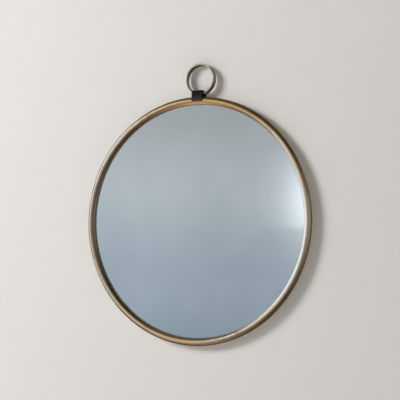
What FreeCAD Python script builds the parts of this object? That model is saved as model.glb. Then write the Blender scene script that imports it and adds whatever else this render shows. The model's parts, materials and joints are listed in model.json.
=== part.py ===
import FreeCAD, Part
import math
import os

# A round wall mirror: glass in a rolled tube hoop, a band ring held on top by a leather loop.
# Millimetres. X runs to the right seen from the front, the glass faces -Y, the wall is on +Y, Z is up.
# The origin is the middle of the keyhole's round hole, on the rear face of the hanger plate.

# Hoop
hoop_d = 610.0            # outside diameter
tube_d = 19.0             # tube outside diameter
tube_wall = 1.5           # tube wall

# Glass, mounting tape and backing board
glass_t = 4.0             # glass thickness
glass_gap = 0.4           # from the glass edge to the hoop's narrowest inside
glass_arris = 0.8         # ground edge of the glass, front and rear
tape_t = 2.0              # double-sided foam tape between glass and board
tape_w = 25.0             # tape strip width
tape_inset = 105.6        # from the outer strips' middles to the glass edge
tape_margin = 30.0        # from a strip's end to the glass edge
tape_rows = 5             # strips, side by side
board_t = 6.0             # backing board thickness
board_lap = 1.2           # how far the board reaches past the hoop's narrowest inside
board_chamfer = 0.8       # broken rear edge of the board
seat_gap = 0.2            # from the board's front edge to the tube that it seats on

# Turn clips that hold the board in the hoop, each on a boss welded to the tube
clip_count = 6            # clips round the hoop
clip_turn = 30.0          # degrees from the top to the first clip
clip_t = 1.5              # clip plate thickness
clip_lap = 9.0            # how far the nose reaches over the board
clip_pivot_r = 6.0        # clip radius round its screw
clip_nose_r = 3.5         # clip radius at its nose
clip_lift = 0.3           # running gap between clip and board
clip_fit = 0.1            # radial running fit on the screw
boss_d = 10.0             # weld boss diameter
boss_sink = 6.0           # how deep the boss is coped over the tube
clip_screw_d = 4.0        # clip screw shank
clip_screw_l = 8.0        # clip screw length under its head
clip_head_d = 7.5         # clip screw head
clip_head_h = 2.4         # clip screw head height
clip_washer_d = 9.0       # spring washer outside diameter
clip_washer_t = 0.8       # spring washer thickness
thread_fit = 0.05         # radial fit of a screw in its tapped hole

# Keyhole hanger plate, screwed to the board's rear
hanger_inset = 72.2       # from the keyhole up to the board's edge
hanger_w = 22.0           # plate width
hanger_l = 62.0           # plate length
hanger_t = 1.5            # plate thickness
keyhole_d = 10.0          # round hole that the wall screw's head enters
slot_w = 5.0              # slot that the wall screw's shank slides into
slot_l = 14.0             # from the round hole's middle up to the slot's end
pocket_d = 13.0           # width of the pocket in the board for the wall screw's head
pocket_depth = 4.5        # depth of that pocket
hanger_screw_d = 3.5      # hanger screw shank
hanger_screw_l = 6.5      # hanger screw length under its head
hanger_head_d = 6.5       # hanger screw head
hanger_head_h = 1.8       # hanger screw head height
hanger_edge = 6.5         # from a hanger screw to the plate's end

# Wall pads
pad_count = 4             # pads on the board's rear
pad_d = 22.0              # pad diameter on the board
pad_tip_d = 18.0          # pad diameter on the wall
pad_t = 5.5               # pad height
pad_inset = 38.0          # from a pad's middle to the board's edge

# Ring
ring_d = 77.6             # outside diameter
ring_t = 4.0              # band thickness
ring_depth = 16.0         # band depth, front to rear
ring_edge = 0.9           # rounding of the band's corners
ring_shift = 2.5          # how far the ring stands to the right in its loop
ring_clear = 0.35         # from the ring to the leather round it
ring_wall_gap = 0.4       # from the ring's top to the wall that it leans towards
swing_max = 20.0          # degrees that the ring can tip forward from rest
swing_clear = 0.6         # from the tipped ring to the tube under it

# Leather loop over the hoop's top
strap_w = 29.0            # strap width
strap_t = 2.4             # leather thickness
strap_bond = 0.1          # bond line between leather and tube
front_leg = 2.8           # front leg's end below the tube's middle
rear_leg = 6.0            # rear leg's end below the tube's middle
strap_screw_d = 3.5       # strap screw shank
strap_screw_l = 10.0      # strap screw length under its head
strap_head_d = 7.0        # strap screw head
strap_head_h = 2.2        # strap screw head height
strap_washer_d = 11.0     # strap washer outside diameter
strap_washer_t = 0.9      # strap washer thickness

overrun = 1.0             # how far a cutting tool runs past what it cuts
head_round_share = 0.45   # rounding of a screw head, as a share of its height
half = 0.5

# Radii and levels that follow from these, in depth from the hoop's own middle plane
tube_r = tube_d * half
hoop_r = hoop_d * half - tube_r
waist_r = hoop_r - tube_r
board_r = waist_r + board_lap
glass_r = waist_r - glass_gap
board_front = math.sqrt(tube_r ** 2 - (tube_r - board_lap) ** 2) + seat_gap
board_rear = board_front + board_t
glass_rear = board_front - tape_t
glass_front = glass_rear - glass_t
clip_front = board_rear + clip_lift
clip_rear = clip_front + clip_t
tape_pitch = 2 * (glass_r - tape_inset) / (tape_rows - 1)
hanger_rise = board_r - hanger_inset
hanger_rear = board_rear + hanger_t
mid = FreeCAD.Vector(0, -hanger_rear, -hanger_rise)
to_wall = FreeCAD.Vector(0, 1, 0)
across = FreeCAD.Vector(1, 0, 0)


def at(x, depth, z):
    return mid + FreeCAD.Vector(x, depth, z)


def rod(d, front, rear, x=0, z=0):
    return Part.makeCylinder(d * half, rear - front, at(x, front, z), to_wall)


def disc(r, front, rear, bevel_front, bevel_rear):
    # A flat round plate, revolved, with its rims broken
    points = [
        at(0, front, 0),
        at(r - bevel_front, front, 0),
        at(r, front + bevel_front, 0),
        at(r, rear - bevel_rear, 0),
        at(r - bevel_rear, rear, 0),
        at(0, rear, 0),
        at(0, front, 0),
    ]
    corners = [points[0]]
    for point in points[1:]:
        if point.distanceToPoint(corners[-1]) > 0:
            corners.append(point)
    return Part.Face(Part.makePolygon(corners)).revolve(mid, to_wall, 360)


def stadium(width, low, high, front, rear):
    # An upright plate with round ends, whose end centres are at the two heights
    r = width * half
    wire = Part.Wire([
        Part.LineSegment(at(r, front, low), at(r, front, high)).toShape(),
        Part.Arc(at(r, front, high), at(0, front, high + r), at(-r, front, high)).toShape(),
        Part.LineSegment(at(-r, front, high), at(-r, front, low)).toShape(),
        Part.Arc(at(-r, front, low), at(0, front, low - r), at(r, front, low)).toShape(),
    ])
    return Part.Face(wire).extrude(to_wall * (rear - front))


def headed_screw(shank_d, length, head_d, head_h, seat, x, z):
    # A pan head screw whose head sits on the seat and whose shank runs forward from it
    head = rod(head_d, seat, seat + head_h, x, z)
    rim = [edge for edge in head.Edges if edge.BoundBox.YMin > at(0, seat, 0).y + head_h * half]
    head = head.makeFillet(head_h * head_round_share, rim)
    return head.fuse(rod(shank_d, seat - length, seat, x, z)).removeSplitter()


def around(count, first):
    return [math.radians(first + index * 360.0 / count) for index in range(count)]


# Places of the clips, pads and hanger screws
clip_places = []
for angle in around(clip_count, clip_turn):
    clip_places.append((hoop_r * math.sin(angle), hoop_r * math.cos(angle), angle))
pad_places = []
for angle in around(pad_count, 180.0 / pad_count):
    pad_r = board_r - pad_inset
    pad_places.append((pad_r * math.sin(angle), pad_r * math.cos(angle)))
hanger_low = hanger_rise + (slot_l - hanger_l) * half
hanger_high = hanger_low + hanger_l
hanger_screw_heights = [hanger_low + hanger_edge, hanger_high - hanger_edge]

# Ring in its loop, in depth and height from the tube's middle: it rests on the loop's rear leg
# and tips forward about its own rear lower edge
ring_r = ring_d * half
ring_in_r = ring_r - ring_t
reach = strap_w * half + ring_shift
band_h = ring_t + ring_in_r - math.sqrt(ring_in_r ** 2 - reach ** 2)
swing = math.radians(swing_max)
tipped_depth = ring_depth * math.cos(swing) + band_h * math.sin(swing)
tube_half = tube_r + strap_bond
loop_half = max(tube_half, tipped_depth * half + ring_clear)
ring_rear = loop_half - ring_clear
ring_low = (tube_r + swing_clear + ring_rear * math.sin(swing)) / math.cos(swing)
ring_top = ring_low + ring_d
loop_top = ring_low + band_h + ring_clear
strap_bend = ring_edge + ring_clear
strap_seat = tube_half + strap_t
strap_flat = strap_washer_d * half + ring_clear

# Loop and ring lean back until the ring's top is close to the wall
wall = board_rear + pad_t
ring_reach = math.hypot(ring_rear, ring_top)
lean_angle = math.asin((wall - ring_wall_gap) / ring_reach) - math.atan(ring_rear / ring_top)
crest = at(0, 0, hoop_r)
out = FreeCAD.Vector(0, math.cos(lean_angle), -math.sin(lean_angle))
along = FreeCAD.Vector(0, math.sin(lean_angle), math.cos(lean_angle))


def on_loop(x, depth, height):
    return crest + across * x + out * depth + along * height


ring_mid = on_loop(ring_shift, ring_rear - ring_depth * half, ring_low + ring_r)


def hoop_tube():
    # The tube rolled into a hoop, tapped for the clip screws and the strap screw
    tube = Part.makeTorus(hoop_r, tube_r, mid, to_wall)
    bore = Part.makeTorus(hoop_r, tube_r - tube_wall, mid, to_wall)
    tapped = [rod(clip_screw_d + 2 * thread_fit, 0, clip_front, x, z) for x, z, angle in clip_places]
    tapped_r = strap_screw_d * half + thread_fit
    tapped.append(Part.makeCylinder(tapped_r, tube_r + overrun, crest, out))
    return tube.cut([bore] + tapped)


def mirror_glass():
    return disc(glass_r, glass_front, glass_rear, glass_arris, glass_arris)


def mirror_tape():
    # Upright strips, each as long as the round glass allows
    strips = []
    for row in range(tape_rows):
        x = (row - (tape_rows - 1) * half) * tape_pitch
        edge = abs(x) + tape_w * half
        reach_up = math.sqrt((glass_r - tape_margin) ** 2 - edge ** 2)
        low = at(x - tape_w * half, glass_rear, -reach_up)
        strips.append(Part.makeBox(tape_w, tape_t, 2 * reach_up, low))
    return Part.makeCompound(strips)


def backing_board():
    board = disc(board_r, board_front, board_rear, 0, board_chamfer)
    pocket_front = board_rear - pocket_depth
    pocket = stadium(pocket_d, hanger_rise, hanger_rise + slot_l, pocket_front, board_rear + overrun)
    pilot_d = hanger_screw_d + 2 * thread_fit
    pilots = [rod(pilot_d, board_front - overrun, board_rear + overrun, 0, z) for z in hanger_screw_heights]
    return board.cut([pocket] + pilots)


def clip_bosses():
    # Threaded bosses coped to the tube, one behind each clip
    tube = Part.makeTorus(hoop_r, tube_r, mid, to_wall)
    bosses = []
    for x, z, angle in clip_places:
        boss_front = clip_front - boss_sink
        boss = rod(boss_d, boss_front, clip_front, x, z)
        thread = rod(clip_screw_d + 2 * thread_fit, boss_front - overrun, clip_front + overrun, x, z)
        boss = boss.cut([tube, thread])
        bosses.append(max(boss.Solids, key=lambda solid: solid.BoundBox.YMax))
    return Part.makeCompound(bosses)


def turn_clip(x, z, angle):
    # A flat button: round at its screw, tapering in tangent lines to a round nose over the board
    span = hoop_r - board_r + clip_lap - clip_nose_r
    side = math.asin((clip_pivot_r - clip_nose_r) / span)
    cosine = math.cos(side)
    sine = math.sin(side)
    top_r = at(clip_pivot_r * cosine, clip_front, hoop_r - clip_pivot_r * sine)
    top_l = at(-clip_pivot_r * cosine, clip_front, hoop_r - clip_pivot_r * sine)
    low = hoop_r - span
    low_r = at(clip_nose_r * cosine, clip_front, low - clip_nose_r * sine)
    low_l = at(-clip_nose_r * cosine, clip_front, low - clip_nose_r * sine)
    wire = Part.Wire([
        Part.LineSegment(low_r, top_r).toShape(),
        Part.Arc(top_r, at(0, clip_front, hoop_r + clip_pivot_r), top_l).toShape(),
        Part.LineSegment(top_l, low_l).toShape(),
        Part.Arc(low_l, at(0, clip_front, low - clip_nose_r), low_r).toShape(),
    ])
    plate = Part.Face(wire).extrude(to_wall * clip_t)
    bore = rod(clip_screw_d + 2 * clip_fit, clip_front - overrun, clip_rear + overrun, 0, hoop_r)
    return plate.cut(bore).rotate(mid, to_wall, math.degrees(angle))


def clip_washers():
    washers = []
    for x, z, angle in clip_places:
        seat = clip_rear + clip_washer_t
        washer = rod(clip_washer_d, clip_rear, seat, x, z)
        bore = rod(clip_screw_d + 2 * clip_fit, clip_rear - overrun, seat + overrun, x, z)
        washers.append(washer.cut(bore))
    return Part.makeCompound(washers)


def clip_screws():
    seat = clip_rear + clip_washer_t
    screws = []
    for x, z, angle in clip_places:
        screws.append(headed_screw(clip_screw_d, clip_screw_l, clip_head_d, clip_head_h, seat, x, z))
    return Part.makeCompound(screws)


def keyhole_hanger():
    end = hanger_w * half
    plate = stadium(hanger_w, hanger_low + end, hanger_high - end, board_rear, hanger_rear)
    cut_front = board_rear - overrun
    cut_rear = hanger_rear + overrun
    slot_end = hanger_rise + slot_l - slot_w * half
    cuts = [
        rod(keyhole_d, cut_front, cut_rear, 0, hanger_rise),
        stadium(slot_w, hanger_rise, slot_end, cut_front, cut_rear),
    ]
    for z in hanger_screw_heights:
        cuts.append(rod(hanger_screw_d + 2 * clip_fit, cut_front, cut_rear, 0, z))
    return plate.cut(cuts)


def hanger_screws():
    screws = []
    for z in hanger_screw_heights:
        screws.append(
            headed_screw(hanger_screw_d, hanger_screw_l, hanger_head_d, hanger_head_h, hanger_rear, 0, z)
        )
    return Part.makeCompound(screws)


def wall_pad(x, z):
    return Part.makeCone(pad_d * half, pad_tip_d * half, pad_t, at(x, board_rear, z), to_wall)


def strap():
    # One strip of leather: up the tube's front, over the ring's band and down the tube's rear
    x = -strap_w * half
    inner = [
        on_loop(x, -tube_half, -front_leg),
        on_loop(x, -tube_half, strap_flat),
        on_loop(x, -loop_half, tube_r),
        on_loop(x, -loop_half, loop_top - strap_bend),
        on_loop(x, -loop_half + strap_bend, loop_top),
        on_loop(x, loop_half - strap_bend, loop_top),
        on_loop(x, loop_half, loop_top - strap_bend),
        on_loop(x, loop_half, tube_r),
        on_loop(x, tube_half, strap_flat),
        on_loop(x, tube_half, -rear_leg),
    ]
    outer_half = loop_half + strap_t
    outer_top = loop_top + strap_t
    outer = [
        on_loop(x, -tube_half - strap_t, -front_leg),
        on_loop(x, -tube_half - strap_t, strap_flat),
        on_loop(x, -outer_half, tube_r),
        on_loop(x, -outer_half, loop_top - strap_bend),
        on_loop(x, -loop_half + strap_bend, outer_top),
        on_loop(x, loop_half - strap_bend, outer_top),
        on_loop(x, outer_half, loop_top - strap_bend),
        on_loop(x, outer_half, tube_r),
        on_loop(x, tube_half + strap_t, strap_flat),
        on_loop(x, tube_half + strap_t, -rear_leg),
    ]
    bend = strap_bend * math.sqrt(half)
    bend_out = (strap_bend + strap_t) * math.sqrt(half)
    bend_mid = loop_half - strap_bend
    bend_h = loop_top - strap_bend

    def face_edges(points, bow):
        front_bow = on_loop(x, -bend_mid - bow, bend_h + bow)
        rear_bow = on_loop(x, bend_mid + bow, bend_h + bow)
        edges = []
        for first, second in zip(points[:3], points[1:4]):
            edges.append(Part.LineSegment(first, second).toShape())
        edges.append(Part.Arc(points[3], front_bow, points[4]).toShape())
        edges.append(Part.LineSegment(points[4], points[5]).toShape())
        edges.append(Part.Arc(points[5], rear_bow, points[6]).toShape())
        for first, second in zip(points[6:9], points[7:]):
            edges.append(Part.LineSegment(first, second).toShape())
        return edges

    ends = [
        Part.LineSegment(inner[0], outer[0]).toShape(),
        Part.LineSegment(inner[-1], outer[-1]).toShape(),
    ]
    edges = face_edges(inner, bend) + face_edges(outer, bend_out) + ends
    wire = Part.Wire(Part.__sortEdges__(edges))
    leather = Part.Face(wire).extrude(across * strap_w)
    hole = Part.makeCylinder(strap_screw_d * half + clip_fit, strap_seat + overrun, crest, out)
    return leather.cut(hole).removeSplitter()


def on_strap_axis(d, front, rear):
    return Part.makeCylinder(d * half, rear - front, crest + out * front, out)


def strap_washer():
    seat = strap_seat + strap_washer_t
    bore = on_strap_axis(strap_screw_d + 2 * clip_fit, strap_seat - overrun, seat + overrun)
    return on_strap_axis(strap_washer_d, strap_seat, seat).cut(bore)


def strap_screw():
    seat = strap_seat + strap_washer_t
    head = on_strap_axis(strap_head_d, seat, seat + strap_head_h)
    rim = max(head.Edges, key=lambda edge: edge.CenterOfMass.y)
    head = head.makeFillet(strap_head_h * head_round_share, [rim])
    return head.fuse(on_strap_axis(strap_screw_d, seat - strap_screw_l, seat)).removeSplitter()


def ring():
    # A flat band with rounded corners, revolved about the ring's own axis
    low = ring_mid - along * ring_r
    front = -ring_depth * half

    def profile(depth, height):
        return low + out * depth + along * height

    wire = Part.makePolygon([
        profile(front, 0),
        profile(-front, 0),
        profile(-front, ring_t),
        profile(front, ring_t),
        profile(front, 0),
    ])
    band = Part.Face(wire).revolve(ring_mid, out, 360)
    rims = [edge for edge in band.Edges if isinstance(edge.Curve, Part.Circle)]
    return band.makeFillet(ring_edge, rims)


pieces = {
    "hoop_tube": hoop_tube(),
    "mirror_glass": mirror_glass(),
    "mirror_tape": mirror_tape(),
    "backing_board": backing_board(),
    "clip_bosses": clip_bosses(),
    "clip_washers": clip_washers(),
    "clip_screws": clip_screws(),
    "keyhole_hanger": keyhole_hanger(),
    "hanger_screws": hanger_screws(),
    "strap": strap(),
    "strap_washer": strap_washer(),
    "strap_screw": strap_screw(),
    "ring": ring(),
}
for index, (x, z, angle) in enumerate(clip_places):
    pieces["turn_clip_%d" % (index + 1)] = turn_clip(x, z, angle)
for index, (x, z) in enumerate(pad_places):
    pieces["wall_pad_%d" % (index + 1)] = wall_pad(x, z)

os.makedirs("parts", exist_ok=True)
for name, shape in pieces.items():
    shape.exportStep("parts/" + name + ".step")
    state = "valid" if shape.isValid() else "faulty"
    print(name, len(shape.Solids), "solids", round(shape.Volume), "mm3", state)

pivot = on_loop(0, ring_rear, ring_low)
print("swing axis at", [round(value, 3) for value in pivot])
print("ring middle at", [round(value, 3) for value in ring_mid], "lean", round(math.degrees(lean_angle), 3))
print("wall plane at", round(wall - hanger_rear, 3), "glass front at", round(glass_front - hanger_rear, 3))
print("clip radius", round(hoop_r, 3), "pad radius", round(board_r - pad_inset, 3))
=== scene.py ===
import json
import math

import bpy
import numpy as np
from mathutils import Matrix, Vector


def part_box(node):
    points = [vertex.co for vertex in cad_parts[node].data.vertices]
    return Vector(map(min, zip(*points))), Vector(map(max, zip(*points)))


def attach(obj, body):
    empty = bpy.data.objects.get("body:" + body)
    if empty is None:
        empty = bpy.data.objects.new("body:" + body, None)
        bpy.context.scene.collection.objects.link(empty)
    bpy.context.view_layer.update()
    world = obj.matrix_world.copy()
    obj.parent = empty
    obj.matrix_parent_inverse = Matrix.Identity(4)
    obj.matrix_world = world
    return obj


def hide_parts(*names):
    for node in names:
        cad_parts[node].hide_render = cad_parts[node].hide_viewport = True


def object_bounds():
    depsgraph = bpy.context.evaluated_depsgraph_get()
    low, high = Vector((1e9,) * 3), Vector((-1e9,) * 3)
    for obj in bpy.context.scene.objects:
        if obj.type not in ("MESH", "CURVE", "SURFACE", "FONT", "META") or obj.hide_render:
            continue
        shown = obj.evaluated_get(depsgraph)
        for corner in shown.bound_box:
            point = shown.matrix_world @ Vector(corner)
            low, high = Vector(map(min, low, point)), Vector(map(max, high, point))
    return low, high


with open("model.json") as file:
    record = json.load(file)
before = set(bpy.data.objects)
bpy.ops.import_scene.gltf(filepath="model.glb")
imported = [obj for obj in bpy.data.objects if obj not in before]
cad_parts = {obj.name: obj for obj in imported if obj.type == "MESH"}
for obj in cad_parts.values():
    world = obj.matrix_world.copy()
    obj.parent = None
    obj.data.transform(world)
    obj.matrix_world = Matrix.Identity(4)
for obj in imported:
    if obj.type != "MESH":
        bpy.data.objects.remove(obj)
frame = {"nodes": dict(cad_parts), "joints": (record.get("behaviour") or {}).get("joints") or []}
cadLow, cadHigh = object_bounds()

mm = 0.001
scene = bpy.context.scene
scene.view_settings.view_transform = "Standard"


# mesh helpers; a shape is its points, its faces' corners in one row, face sizes and corner uvs

def nodePoints(name):
    vertices = frame["nodes"][name].data.vertices
    flat = np.empty(len(vertices) * 3, np.float32)
    vertices.foreach_get("co", flat)
    return flat.reshape(-1, 3).astype(float)


def unit(vector):
    return np.asarray(vector, float) / np.linalg.norm(vector)


def fullTurn(count):
    return np.linspace(0, 2 * np.pi, count, endpoint=False)


def gridFaces(rows, columns, wrapRows):
    # quads between neighbouring rows and columns, and their steps; the last column always joins the first
    i = np.arange(rows if wrapRows else rows - 1)[:, None]
    j = np.arange(columns)[None, :]
    iNext, jNext = (i + 1) % rows, (j + 1) % columns
    corners = [i * columns + j, i * columns + jNext, iNext * columns + jNext, iNext * columns + j]
    quads = np.stack(np.broadcast_arrays(*corners), -1).reshape(-1, 4)
    low = np.stack(np.broadcast_arrays(i, j), -1).reshape(-1, 1, 2)
    return quads, low + np.array([[0, 0], [0, 1], [1, 1], [1, 0]])


def outward(points, faces, uvs):
    # each array of faces has one face size; volume = sum over all corners of first . (corner x next) / 6,
    # and a negative one means that the faces point inwards
    corners = np.concatenate([part.ravel() for part in faces])
    sizes = np.concatenate([np.full(len(part), part.shape[1]) for part in faces])
    uv = np.concatenate([part.reshape(-1, 2) for part in uvs])
    first = np.repeat(np.cumsum(sizes) - sizes, sizes)
    last = first + np.repeat(sizes, sizes) - 1
    here = np.arange(len(corners))
    after = np.where(here == last, first, here + 1)
    spots = (points - points.mean(0))[corners]
    if np.einsum("ij,ij->", spots[first], np.cross(spots, spots[after])) < 0:
        turned = first + last - here
        corners, uv = corners[turned], uv[turned]
    return points, corners, sizes, uv


def surface(points, capped=False):
    # a grid of points (rows, columns, 3) whose rows close on themselves, or end in two caps
    rows, columns = points.shape[:2]
    quads, steps = gridFaces(rows, columns, not capped)
    faces, uvs = [quads], [steps / np.array([rows - 1 if capped else rows, columns])]
    if capped:
        across = np.arange(columns)
        for loop, u in ((across[::-1], 0.0), (across + (rows - 1) * columns, 1.0)):
            faces.append(loop[None])
            uvs.append(np.stack([np.full(columns, u), (loop % columns) / columns], -1))
    return outward(points.reshape(-1, 3), faces, uvs)


def revolve(profile, centre, axis, right, count, poles=False):
    # profile rows are (radius, depth along axis); point = centre + axis*depth + radius*(right cos + up sin);
    # with poles its first and last rows are single points, without them it closes on itself
    profile = np.asarray(profile, float)
    axis, right = unit(axis), unit(right)
    angle = fullTurn(count)
    spoke = np.cos(angle)[:, None] * right + np.sin(angle)[:, None] * np.cross(axis, right)
    rows = profile[1:-1] if poles else profile
    points = centre + axis * rows[:, 1][:, None, None] + spoke[None] * rows[:, 0][:, None, None]
    points = points.reshape(-1, 3)
    quads, steps = gridFaces(len(rows), count, not poles)
    faces, uvs = [quads], [steps / np.array([len(rows) - 1, count])]
    if poles:
        ring = np.arange(count)
        around = np.stack([ring, ring + 1, ring + 0.5], -1) / count
        for row, end, turn in ((0, 0, -1), (len(rows) - 1, 1, 1)):
            pole = np.full(count, len(points) + end)
            fan = np.stack([row * count + ring, row * count + (ring + 1) % count, pole], -1)
            faces.append(fan[:, ::turn])
            uvs.append(np.stack([np.full((count, 3), end), around], -1)[:, ::turn])
        points = np.vstack([points, centre + axis * profile[0, 1], centre + axis * profile[-1, 1]])
    return outward(points, faces, uvs)


def joinShapes(shapes):
    points, corners, sizes, uvs = zip(*shapes)
    starts = np.cumsum([0] + [len(part) for part in points[:-1]])
    corners = [part + start for part, start in zip(corners, starts)]
    return np.concatenate(points), np.concatenate(corners), np.concatenate(sizes), np.concatenate(uvs)


def addPiece(name, shape, body, slot, replaced=(), sharpAngle=None, finish=None):
    points, corners, sizes, uv = shape
    mesh = bpy.data.meshes.new(name)
    mesh.vertices.add(len(points))
    mesh.vertices.foreach_set("co", points.astype(np.float32).ravel())
    mesh.loops.add(len(corners))
    mesh.loops.foreach_set("vertex_index", corners.astype(np.int32))
    mesh.polygons.add(len(sizes))
    mesh.polygons.foreach_set("loop_start", (np.cumsum(sizes) - sizes).astype(np.int32))
    mesh.polygons.foreach_set("use_smooth", np.ones(len(sizes), bool))
    mesh.update(calc_edges=True)
    layer = mesh.uv_layers.new(name="UVMap")
    layer.data.foreach_set("uv", uv.astype(np.float32).ravel())
    if sharpAngle:
        mesh.set_sharp_from_angle(angle=math.radians(sharpAngle))
    mesh.materials.append(finishes[finish or slot])
    piece = bpy.data.objects.new(name, mesh)
    scene.collection.objects.link(piece)
    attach(piece, body)
    if replaced:
        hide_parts(*replaced)


# material helpers

def newMaterial(name):
    material = bpy.data.materials.new(name)
    material.use_nodes = True
    tree = material.node_tree
    place = tree.nodes.new("ShaderNodeTexCoord").outputs["Object"]
    return material, tree, tree.nodes["Principled BSDF"], place


def feed(tree, node, inputs):
    # a socket is linked, and any other value is set
    for key, value in inputs.items():
        if isinstance(value, bpy.types.NodeSocket):
            tree.links.new(value, node.inputs[key])
        else:
            node.inputs[key].default_value = value


def addNode(tree, kind, inputs, **settings):
    node = tree.nodes.new(kind)
    for key, value in settings.items():
        setattr(node, key, value)
    feed(tree, node, inputs)
    return node


def mathNode(tree, operation, a, b=0.0, c=0.0):
    return addNode(tree, "ShaderNodeMath", {0: a, 1: b, 2: c}, operation=operation).outputs[0]


def times(tree, a, b):
    return mathNode(tree, "MULTIPLY", a, b)


def minus(tree, a, b):
    return mathNode(tree, "SUBTRACT", a, b)


def mapRange(tree, value, low, high, toLow=0.0, toHigh=1.0):
    inputs = {0: value, 1: low, 2: high, 3: toLow, 4: toHigh}
    return addNode(tree, "ShaderNodeMapRange", inputs, interpolation_type="SMOOTHSTEP").outputs[0]


def mixColour(tree, factor, a, b, blend="MIX"):
    a, b = ((*colour, 1) if isinstance(colour, tuple) else colour for colour in (a, b))
    settings = {"data_type": "RGBA", "blend_type": blend}
    return addNode(tree, "ShaderNodeMix", {0: factor, 6: a, 7: b}, **settings).outputs[2]


def noise(tree, vector, scale, detail=3.0, rough=0.55, distortion=0.0):
    inputs = {"Vector": vector, "Scale": scale, "Detail": detail, "Roughness": rough}
    return addNode(tree, "ShaderNodeTexNoise", {**inputs, "Distortion": distortion}).outputs["Fac"]


def voronoi(tree, vector, scale, feature="F1"):
    inputs = {"Vector": vector, "Scale": scale}
    return addNode(tree, "ShaderNodeTexVoronoi", inputs, feature=feature).outputs["Distance"]


def crystals(tree, vector, scale):
    colour = addNode(tree, "ShaderNodeTexVoronoi", {"Vector": vector, "Scale": scale}).outputs["Color"]
    return addNode(tree, "ShaderNodeSeparateXYZ", {0: colour}).outputs[0]


def stretched(tree, vector, scale=(1, 1, 1), shift=(0, 0, 0)):
    inputs = {"Vector": vector, "Scale": scale, "Location": shift}
    return addNode(tree, "ShaderNodeMapping", inputs).outputs[0]


def scaled(tree, colour, share):
    inputs = {0: colour, "Scale": share}
    return addNode(tree, "ShaderNodeVectorMath", inputs, operation="SCALE").outputs[0]


def bumpTo(tree, shader, height, strength, distance):
    node = addNode(tree, "ShaderNodeBump", {"Height": height, "Strength": strength, "Distance": distance})
    tree.links.new(node.outputs[0], shader.inputs["Normal"])


def uvParts(tree):
    uv = tree.nodes.new("ShaderNodeTexCoord").outputs["UV"]
    return addNode(tree, "ShaderNodeSeparateXYZ", {0: uv}).outputs[:2]


def bothSides(tree, value, middle):
    # 1 at a place on a closed turn and at the place opposite: cos(4 pi (value - middle))
    return mathNode(tree, "COSINE", times(tree, minus(tree, value, middle), 4 * math.pi))


def glowAt(tree, *parts):
    # exp(-sum of ((value - middle) / reach)^2) over two parts
    a, b = (mathNode(tree, "DIVIDE", minus(tree, value, middle), reach) for value, middle, reach in parts)
    away = mathNode(tree, "MULTIPLY_ADD", a, a, times(tree, b, b))
    return mathNode(tree, "EXPONENT", times(tree, away, -1.0))


# antique gold on the hoop: gold leaf tones over bronze, copper-brown patches and fine lines along the tube,
# a paler tone where highlights fall (painted highlight) and darker tones on its sides (painted shade);
# a zone is an angle round the hoop in degrees, its width, its share, its tone and its side of the tube;
# a side is a place round the section, how far from it the side ends and is full, and the share outside it;
# a noise is its scale, detail, roughness and distortion, and a range is low, high and what they become
hoopFinish = {
    "gold": (1.0, 0.665, 0.24), "olive": (0.62, 0.485, 0.295), "champagneHighlight": (0.94, 0.86, 0.71),
    "bronze": (0.36, 0.245, 0.13), "copper": (0.66, 0.285, 0.13), "shadeSienna": (0.50, 0.24, 0.085),
    "shadeUmber": (0.15, 0.11, 0.065), "lacquer": 1.9, "lacquerRough": 0.14,
    "patch": (16.0, 5.0, 0.6, 0.4), "grain": (700.0, 4.0, 0.6), "grainRange": (0.3, 0.7, 0.0, 0.35),
    "warmMiddle": 0.25, "warmRange": (-0.5, 0.9), "warmShare": 0.55, "leafRange": (0.45, 1.05),
    "cloud": (42.0, 4.0, 0.65), "cloudShift": (0.4, 0.2, 0.7), "cloudRange": (0.48, 0.76, 0.0, 0.6),
    "spots": (50.0, 4.0, 0.6), "spotShift": (3.0, 7.0, 1.0), "spotRange": (0.60, 0.74, 0.0, 0.45),
    "patchRange": (0.46, 0.56), "roughRange": (0.6, 1.4, 0.15, 0.28),
    "lines": (9.5, 41.0, 4.0, 0.7), "lineShare": 0.6, "bump": (0.12, 0.2 * mm),
    "sides": {"all": (0.5, 1.0, 0.6, 0.0), "inner": (0.59, 0.145, 0.065, 0.0),
              "innerFront": (0.61, 0.23, 0.10, 0.0), "front": (0.70, 0.17, 0.08, 0.4),
              "outerFront": (0.92, 0.18, 0.08, 0.0)},
    # champagne zones: a paler tone where the highlights fall on the tube, a painted highlight colour
    "leafAndHighlightZones": [(338.0, 45.0, 0.85, "champagneHighlight", "front"), (138.0, 28.0, 0.75, "champagneHighlight", "all"),
                  (245.0, 26.0, 0.42, "champagneHighlight", "all"), (290.0, 19.0, 0.7, "champagneHighlight", "front"),
                  (44.0, 13.0, 0.5, "champagneHighlight", "front"), (190.0, 22.0, 0.48, "bronze", "all"),
                  (62.0, 10.0, 0.40, "bronze", "all"), (36.0, 15.0, 0.5, "gold", "outerFront")],
    # umber, sienna and outer-front bronze are painted shade on the tube's sides; copper patches are worn
    # leaf
    "wornAndShadeZones": [(246.0, 32.0, 0.88, "bronze", "outerFront"), (112.0, 14.0, 0.35, "bronze", "outerFront"),
                  (292.0, 11.0, 0.6, "bronze", "outerFront"), (178.0, 25.0, 0.75, "shadeUmber", "inner"),
                  (117.0, 24.0, 0.8, "shadeSienna", "inner"), (124.0, 22.0, 0.6, "copper", "patches"),
                  (291.0, 9.0, 0.7, "copper", "patches")],
    "kept": [(90.0, 24.0, 0.75), (268.0, 24.0, 0.6), (4.0, 26.0, 0.85)],
}


def zone(tree, around, degrees, width):
    # 1 at an angle round the hoop and 1/e a width away: exp((cos(turn) - 1) / (1 - cos(width)))
    turn = times(tree, minus(tree, around, degrees / 360), 2 * math.pi)
    fall = minus(tree, mathNode(tree, "COSINE", turn), 1.0)
    return mathNode(tree, "EXPONENT", mathNode(tree, "DIVIDE", fall, 1 - math.cos(math.radians(width))))


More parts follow.
